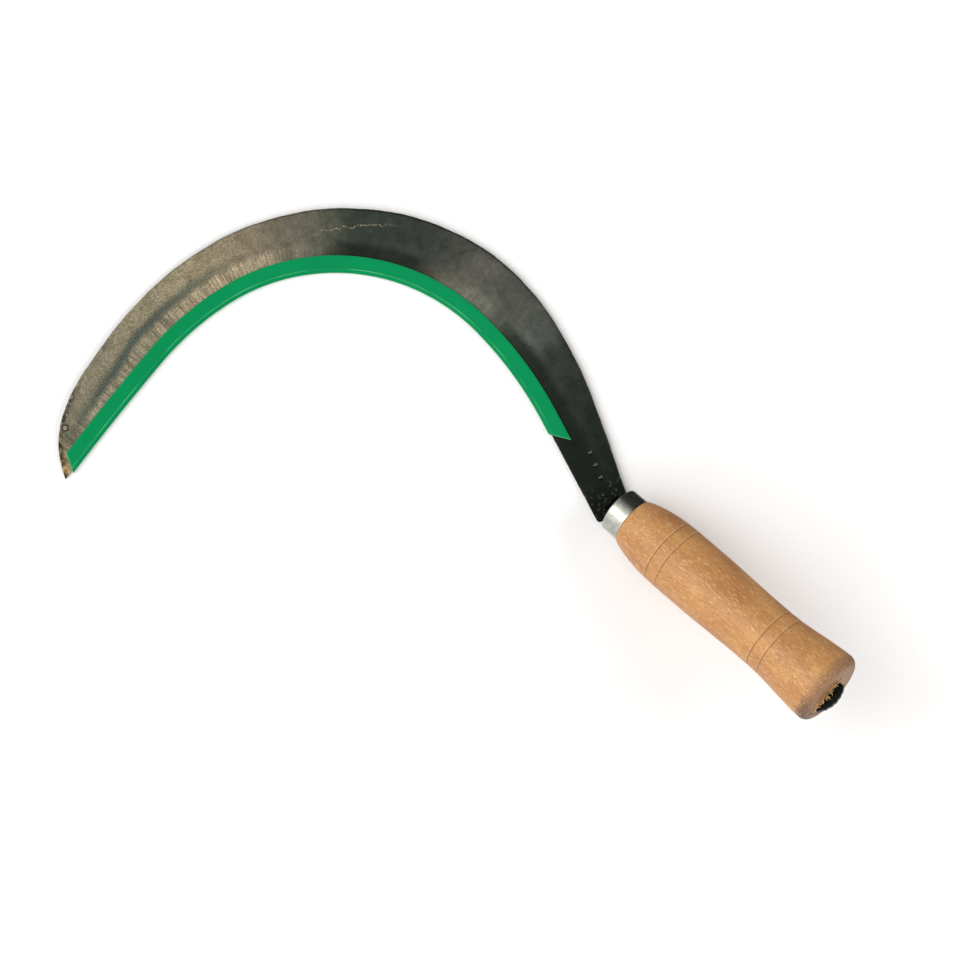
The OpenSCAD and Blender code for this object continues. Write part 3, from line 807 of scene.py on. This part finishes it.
body_to = HANDLE_LEN - BUTT_ROUND
marks = [FERRULE_LEN + (body_to - FERRULE_LEN) * k / 190 for k in range(191)]
for at in GROOVES:
    marks = [e for e in marks if abs(e - at) > 1.2 * GROOVE_HALF_W]
    marks += [at + GROOVE_HALF_W * k / 3 for k in (-3, -2, -1, 0, 1, 2, 3)]
spigot_r = FERRULE_R - FERRULE_WALL
outline = [(0.0001, MOUTH_DEPTH), (spigot_r, MOUTH_DEPTH), (spigot_r, FERRULE_LEN)]
outline += [(SHOULDER_R - 0.0003, FERRULE_LEN)]
for e in sorted(marks):
    cut_in = max([GROOVE_D * (1 - abs(e - at) / GROOVE_HALF_W) for at in GROOVES] + [0])
    outline.append((handle_r(e) - cut_in - (0.0002 if e == FERRULE_LEN else 0), e))
end_r = handle_r(body_to)
for k in range(1, 13):
    a = math.pi / 2 * k / 12
    outline.append((end_r - BUTT_ROUND + BUTT_ROUND * math.cos(a), body_to + BUTT_ROUND * math.sin(a)))
outline += [(end_r - BUTT_ROUND - 0.002 * k, HANDLE_LEN) for k in range(1, 7)]
outline.append((0.0001, HANDLE_LEN))
handle = turned("turned_handle", outline)

# Beech: even, fine-grained and warm tan, with short dark ray flecks along the grain and faint rings.
# Clear lacquer gives it a soft shine; the butt is darker: burnished end grain, with painted shade on it.
beech, tree, shader = new_material("turned_lacquered_beech")
place = add(tree, "ShaderNodeTexCoord").outputs["Object"]
own = add(tree, "ShaderNodeMapping", Vector=place, Rotation=(turn_x, 0, 0), Location=tuple(home))
axis = add(tree, "ShaderNodeSeparateXYZ", _0=own)
warp = add(tree, "ShaderNodeTexNoise", Vector=own, Scale=22.0, Detail=2.0, Roughness=0.5)
bent = add(tree, "ShaderNodeVectorMath", TIMES_PLUS, _0=warp.outputs["Color"], _1=(0.006, 0.006, 0), _2=own)
heart = add(tree, "ShaderNodeMapping", Vector=bent, Location=(0.031, 0.042, 0), Scale=(1, 1, 0.06))
rings_wave = add(
    tree, "ShaderNodeTexWave", {"wave_type": "RINGS", "rings_direction": "Z", "wave_profile": "SAW"},
    Vector=heart, Scale=90.0, Distortion=1.2, Detail=2.0,
)
blotch = add(tree, "ShaderNodeMapping", Vector=own, Scale=(70, 70, 34))
tone = add(tree, "ShaderNodeTexNoise", Vector=blotch, Scale=1.0, Detail=4.0, Roughness=0.6)
tone_fac = add(tree, "ShaderNodeMapRange", Value=tone, _1=0.34, _2=0.66)
base = add(
    tree, "ShaderNodeMix", BLEND, Factor=tone_fac, _6=srgb("#a86f3e"), _7=srgb("#c89256")
)
ring_part = add(tree, "ShaderNodeMapRange", Value=rings_wave.outputs["Fac"], _4=0.30)
# ray flecks: about 1.2 mm long and 0.4 mm wide, along the grain
fleck_space = add(tree, "ShaderNodeMapping", Vector=own, Scale=(1500, 1500, 520))
flecks = add(tree, "ShaderNodeTexVoronoi", {"feature": "F1"}, Vector=fleck_space, Scale=1.0, Randomness=0.9)
fleck = add(tree, "ShaderNodeMapRange", Value=flecks, _1=0.42, _2=0.20)
fleck_pick = add(tree, "ShaderNodeMapRange", Value=tone, _1=0.40, _2=0.60, _3=0.35, _4=0.75)
fleck_part = add(tree, "ShaderNodeMath", TIMES, _0=fleck, _1=fleck_pick)

# pale streaks along the grain
pale_space = add(tree, "ShaderNodeMapping", Vector=own, Scale=(1500, 1500, 300), Location=(3, 5, 2))
pale_noise = add(tree, "ShaderNodeTexNoise", Vector=pale_space, Scale=1.0, Detail=3.0, Roughness=0.6)
pale_part = add(tree, "ShaderNodeMapRange", Value=pale_noise, _1=0.52, _2=0.68, _4=0.60)

# the darker band round the butt, burnished end grain with painted shade on it, worn through in spots, and
# the torn face round the clench
burnish_and_shade = add(
    tree, "ShaderNodeMapRange", SMOOTH,
    Value=axis.outputs[2], _1=HANDLE_LEN - 0.0075, _2=HANDLE_LEN - 0.0020, _4=0.62,
)
end_spots = add(tree, "ShaderNodeTexNoise", Vector=own, Scale=900.0, Detail=3.0, Roughness=0.7)
end_pick = add(tree, "ShaderNodeMapRange", Value=end_spots, _1=0.38, _2=0.60, _3=1.35, _4=0.55)
burnish_and_shade = add(tree, "ShaderNodeMath", TIMES, _0=burnish_and_shade, _1=end_pick)
torn_gap_x = add(tree, "ShaderNodeMath", MINUS, _0=axis.outputs[0], _1=CLENCH_RIGHT - CLENCH_SPAN / 2)
torn_x = add(tree, "ShaderNodeMath", ABSOLUTE, _0=torn_gap_x)
torn_x = add(
    tree, "ShaderNodeMapRange", Value=torn_x, _1=CLENCH_SPAN / 2 + 0.006, _2=CLENCH_SPAN / 2 + 0.002
)
torn_y = add(tree, "ShaderNodeMath", ABSOLUTE, _0=axis.outputs[1])
torn_y = add(tree, "ShaderNodeMapRange", Value=torn_y, _1=CLENCH_T / 2 + 0.0065, _2=CLENCH_T / 2 + 0.0025)
torn_end = add(
    tree, "ShaderNodeMapRange", Value=axis.outputs[2], _1=HANDLE_LEN - 0.0006, _2=HANDLE_LEN - 0.0002
)
torn_here = torn_x
for part in (torn_y, torn_end):
    torn_here = add(tree, "ShaderNodeMath", TIMES, _0=torn_here, _1=part)
torn_spots = add(tree, "ShaderNodeTexNoise", Vector=own, Scale=360.0, Detail=4.0, Roughness=0.75)
torn_pick = add(tree, "ShaderNodeMapRange", Value=torn_spots, _1=0.42, _2=0.58)
torn_tone = add(
    tree, "ShaderNodeMix", BLEND, Factor=torn_pick, _6=srgb("#e0a468"), _7=srgb("#5a361d")
)

# painted shade: one side of the butt's band made darker still
shaded_side = add(tree, "ShaderNodeMapRange", Value=axis.outputs[0], _1=-0.009, _2=-0.0170, _4=1.2)
painted_shade = add(tree, "ShaderNodeMath", TIMES, _0=shaded_side, _1=burnish_and_shade)

# darker in the scribed lines and along the shoulder by the ferrule, and a painted highlight beside each
# line
line_and_shoulder_dark = painted_highlight_by_line = None
for at in GROOVES:
    away = add(tree, "ShaderNodeMath", MINUS, _0=axis.outputs[2], _1=at)
    away = add(tree, "ShaderNodeMath", ABSOLUTE, _0=away)
    here = add(tree, "ShaderNodeMapRange", Value=away, _1=0.00050, _2=0.0001, _4=0.48)
    line_and_shoulder_dark = here if line_and_shoulder_dark is None else add(tree, "ShaderNodeMath", LARGER, _0=line_and_shoulder_dark, _1=here)
    beside = add(tree, "ShaderNodeMath", MINUS, _0=axis.outputs[2], _1=at - 1.2 * GROOVE_HALF_W)
    beside = add(tree, "ShaderNodeMath", ABSOLUTE, _0=beside)
    here = add(tree, "ShaderNodeMapRange", Value=beside, _1=0.00040, _2=0.0001, _4=0.22)
    painted_highlight_by_line = here if painted_highlight_by_line is None else add(tree, "ShaderNodeMath", LARGER, _0=painted_highlight_by_line, _1=here)
shoulder = add(
    tree, "ShaderNodeMapRange", Value=axis.outputs[2], _1=FERRULE_LEN + 0.0007, _2=FERRULE_LEN, _4=0.7
)
line_and_shoulder_dark = add(tree, "ShaderNodeMath", LARGER, _0=line_and_shoulder_dark, _1=shoulder)

# all of these over the plain wood, from the lowest up
wood = base
for part, colour in (
    (ring_part, srgb("#b07644")), (fleck_part, srgb("#9c6437")), (pale_part, srgb("#e3bb83")),
    (burnish_and_shade, srgb("#735744")), (torn_here, torn_tone), (painted_shade, srgb("#3d2c1d")),
    (painted_highlight_by_line, srgb("#e6bf8c")), (line_and_shoulder_dark, srgb("#7a4f2c")),
):
    wood = add(tree, "ShaderNodeMix", BLEND, Factor=part, _6=wood, _7=colour)
tree.links.new(wood.outputs[2], shader.inputs["Base Color"])
lathe = add(tree, "ShaderNodeMapping", Vector=own, Scale=(40, 40, 2600))
tool_marks = add(tree, "ShaderNodeTexNoise", Vector=lathe, Scale=1.0, Detail=2.0, Roughness=0.5)
rough = add(tree, "ShaderNodeMapRange", Value=tone, _1=0.3, _2=0.7, _3=0.42, _4=0.55)
tree.links.new(rough.outputs[0], shader.inputs["Roughness"])
height = add(tree, "ShaderNodeMath", TIMES_PLUS, _0=fleck_part, _1=-1.2, _2=tool_marks)
bump = add(tree, "ShaderNodeBump", Strength=0.35, Distance=0.00003, Height=height)
tree.links.new(bump.outputs[0], shader.inputs["Normal"])
shader.inputs["Coat Weight"].default_value = 0.06
shader.inputs["Coat Roughness"].default_value = 0.3
handle.data.materials.append(beech)
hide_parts("handle")
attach(handle, "sickle")

# ---- Torn wood round the clench -------------------------------------------------------------------
# Driving the point back tore the beech along the steel: short pale splinters stand up beside it.
# They are the same wood, unlacquered, and they ride with the handle.

SPLINTERS = 80
tear = []
for k in range(25):
    x = mix(CLENCH_RIGHT, CLENCH_RIGHT - CLENCH_SPAN, k / 24)
    tear.append(on_handle(x, CLENCH_T / 2 + 0.0003, HANDLE_LEN))
tear_mesh = bpy.data.meshes.new("torn_wood")
tear_mesh.from_pydata([tuple(p) for p in tear], [(i, i + 1) for i in range(len(tear) - 1)], [])
splinters = bpy.data.objects.new("torn_wood", tear_mesh)
bpy.context.scene.collection.objects.link(splinters)


def splinter_tree():
    """Scatters pointed splinters along a line, with a named count, sizes and seed."""
    tree = bpy.data.node_groups.new("torn_splinters", "GeometryNodeTree")
    tree.is_modifier = True
    tree.interface.new_socket("Geometry", in_out="INPUT", socket_type="NodeSocketGeometry")
    for name, kind in (
        ("Count", "NodeSocketInt"), ("Length", "NodeSocketFloat"), ("Radius", "NodeSocketFloat"),
        ("Tilt", "NodeSocketFloat"), ("Spread", "NodeSocketFloat"), ("Seed", "NodeSocketInt"),
        ("Material", "NodeSocketMaterial"),
    ):
        tree.interface.new_socket(name, in_out="INPUT", socket_type=kind)
    tree.interface.new_socket("Geometry", in_out="OUTPUT", socket_type="NodeSocketGeometry")
    given = add(tree, "NodeGroupInput").outputs
    curve = add(tree, "GeometryNodeMeshToCurve", Mesh=given["Geometry"])
    spots = add(tree, "GeometryNodeCurveToPoints", {"mode": "COUNT"}, Curve=curve, Count=given["Count"])
    far = add(tree, "ShaderNodeVectorMath", {"operation": "SCALE"}, _0=(1, 1, 1), Scale=given["Spread"])
    near = add(tree, "ShaderNodeVectorMath", {"operation": "SCALE"}, _0=far, Scale=-1.0)
    jitter = add(
        tree, "FunctionNodeRandomValue", {"data_type": "FLOAT_VECTOR"},
        _0=near, _1=far, Seed=given["Seed"],
    )
    moved = add(tree, "GeometryNodeSetPosition", Geometry=spots, Offset=jitter)
    cone = add(
        tree, "GeometryNodeMeshCone",
        Vertices=5, Radius_Top=0.0, Radius_Bottom=given["Radius"], Depth=given["Length"],
    )
    seed_turn = add(tree, "ShaderNodeMath", _0=given["Seed"], _1=7.0)
    turn = add(
        tree, "FunctionNodeRandomValue", {"data_type": "FLOAT_VECTOR"},
        _0=(-0.9, -0.5, 0), _1=(0.9, 0.5, 6.28), Seed=seed_turn,
    )
    tilt = add(tree, "ShaderNodeCombineXYZ", X=given["Tilt"])
    turned_by = add(tree, "ShaderNodeVectorMath", _0=turn, _1=tilt)
    seed_size = add(tree, "ShaderNodeMath", _0=given["Seed"], _1=19.0)
    size = add(tree, "FunctionNodeRandomValue", {"data_type": "FLOAT"}, _2=0.35, _3=1.25, Seed=seed_size)
    placed = add(
        tree, "GeometryNodeInstanceOnPoints", Points=moved, Instance=cone,
        Rotation=turned_by, Scale=size.outputs[1],
    )
    real = add(tree, "GeometryNodeRealizeInstances", Geometry=placed)
    painted = add(tree, "GeometryNodeSetMaterial", Geometry=real, Material=given["Material"])
    out = add(tree, "NodeGroupOutput")
    tree.links.new(painted.outputs[0], out.inputs[0])
    return tree


# Freshly torn beech: paler than the lacquered surface, matt and fibrous.
torn_beech, tree, shader = new_material("torn_beech_fibre")
place = add(tree, "ShaderNodeTexCoord").outputs["Object"]
fibre = add(tree, "ShaderNodeTexNoise", Vector=place, Scale=1300.0, Detail=3.0, Roughness=0.6)
colour = add(
    tree, "ShaderNodeMix", BLEND, Factor=fibre, _6=srgb("#a56f3e"), _7=srgb("#f0cf9c")
)
tree.links.new(colour.outputs[2], shader.inputs["Base Color"])
shader.inputs["Roughness"].default_value = 0.8
made_real(
    splinters, splinter_tree(), Count=SPLINTERS, Length=0.0019, Radius=0.00036,
    Tilt=math.pi / 2 - HANDLE_TILT, Spread=0.0008, Seed=4, Material=torn_beech,
)
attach(splinters, "sickle")

# ---- Floor, light and camera ----------------------------------------------------------------------
# A plain white floor under plain studio light: a large soft box on the lower left, a small one over the
# point of the hook and one to fill on either side. The room is dark on the right.

FLOOR_Z = min(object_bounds()[0][2], cad_box[0][2])
CAMERA_AT = Vector((-0.03463, 0.05506, 1.400))
CAMERA_TURN = math.radians(-48.84)
RIGHT = Vector((math.cos(CAMERA_TURN), math.sin(CAMERA_TURN), 0))
UP = Vector((-math.sin(CAMERA_TURN), math.cos(CAMERA_TURN), 0))

floor_mesh = bpy.data.meshes.new("floor")
floor_corners = [(4 * x, 4 * y, FLOOR_Z) for x, y in ((-1, -1), (1, -1), (1, 1), (-1, 1))]
floor_mesh.from_pydata(floor_corners, [], [(0, 1, 2, 3)])
floor = bpy.data.objects.new("floor", floor_mesh)
bpy.context.scene.collection.objects.link(floor)
pale, tree, shader = new_material("matt_white_paper")
place = add(tree, "ShaderNodeTexCoord").outputs["Object"]
tooth = add(tree, "ShaderNodeTexNoise", Vector=place, Scale=900.0, Detail=2.0)
colour = add(tree, "ShaderNodeMix", BLEND, Factor=tooth, _6=srgb("#f4f4f4"), _7=srgb("#fafafa"))
tree.links.new(colour.outputs[2], shader.inputs["Base Color"])
shader.inputs["Roughness"].default_value = 1.0
shader.inputs["Specular IOR Level"].default_value = 0.0
floor_mesh.materials.append(pale)
floor.visible_glossy = False  # the ferrule would mirror it and lose its dark half


def soft_box(name, right, up, height, size, power, colour=(1, 1, 1)):
    """An area light at a place given to the camera's right, up and above the floor, aimed at the sickle."""
    light = bpy.data.lights.new(name, "AREA")
    light.shape = "RECTANGLE"
    light.size, light.size_y = size
    light.energy = power
    light.color = colour
    obj = bpy.data.objects.new(name, light)
    middle = Vector((CAMERA_AT.x, CAMERA_AT.y, 0))
    obj.location = middle + right * RIGHT + up * UP + Vector((0, 0, height))
    obj.rotation_euler = (middle - obj.location).to_track_quat("-Z", "Y").to_euler()
    bpy.context.scene.collection.objects.link(obj)


soft_box("key_low_left", -1.2, -1.2, 1.8, (2.4, 2.4), 12)
soft_box("over_the_point", -0.75, 0.35, 1.9, (0.9, 0.9), 6, (1.0, 0.96, 0.88))
soft_box("fill_left", -2.0, 0.5, 1.6, (1.4, 1.4), 14)
soft_box("fill_right", 1.9, 0.3, 1.55, (1.2, 1.2), 19)

# the room: pale all round but for its upper right, which the ferrule mirrors as its dark half
world = bpy.data.worlds.new("studio")
bpy.context.scene.world = world
world.use_nodes = True
tree = world.node_tree
toward = add(tree, "ShaderNodeTexCoord").outputs["Generated"]
dark_side = tuple((0.75 * RIGHT + 0.66 * UP).normalized())
facing = add(tree, "ShaderNodeVectorMath", {"operation": "DOT_PRODUCT"}, _0=toward, _1=dark_side)
room = add(tree, "ShaderNodeMapRange", Value=facing, _1=0.05, _2=0.62, _3=0.92, _4=0.03)
tree.links.new(room.outputs[0], tree.nodes["Background"].inputs["Strength"])
tree.nodes["Background"].inputs["Color"].default_value = (1, 1, 1, 1)

camera_data = bpy.data.cameras.new("camera")
camera_data.sensor_width = 36
camera_data.lens = 103.07
camera = bpy.data.objects.new("camera", camera_data)
camera.location = CAMERA_AT
camera.rotation_euler = (0, 0, CAMERA_TURN)
bpy.context.scene.collection.objects.link(camera)
bpy.context.scene.camera = camera
bpy.context.scene.view_settings.view_transform = "Standard"
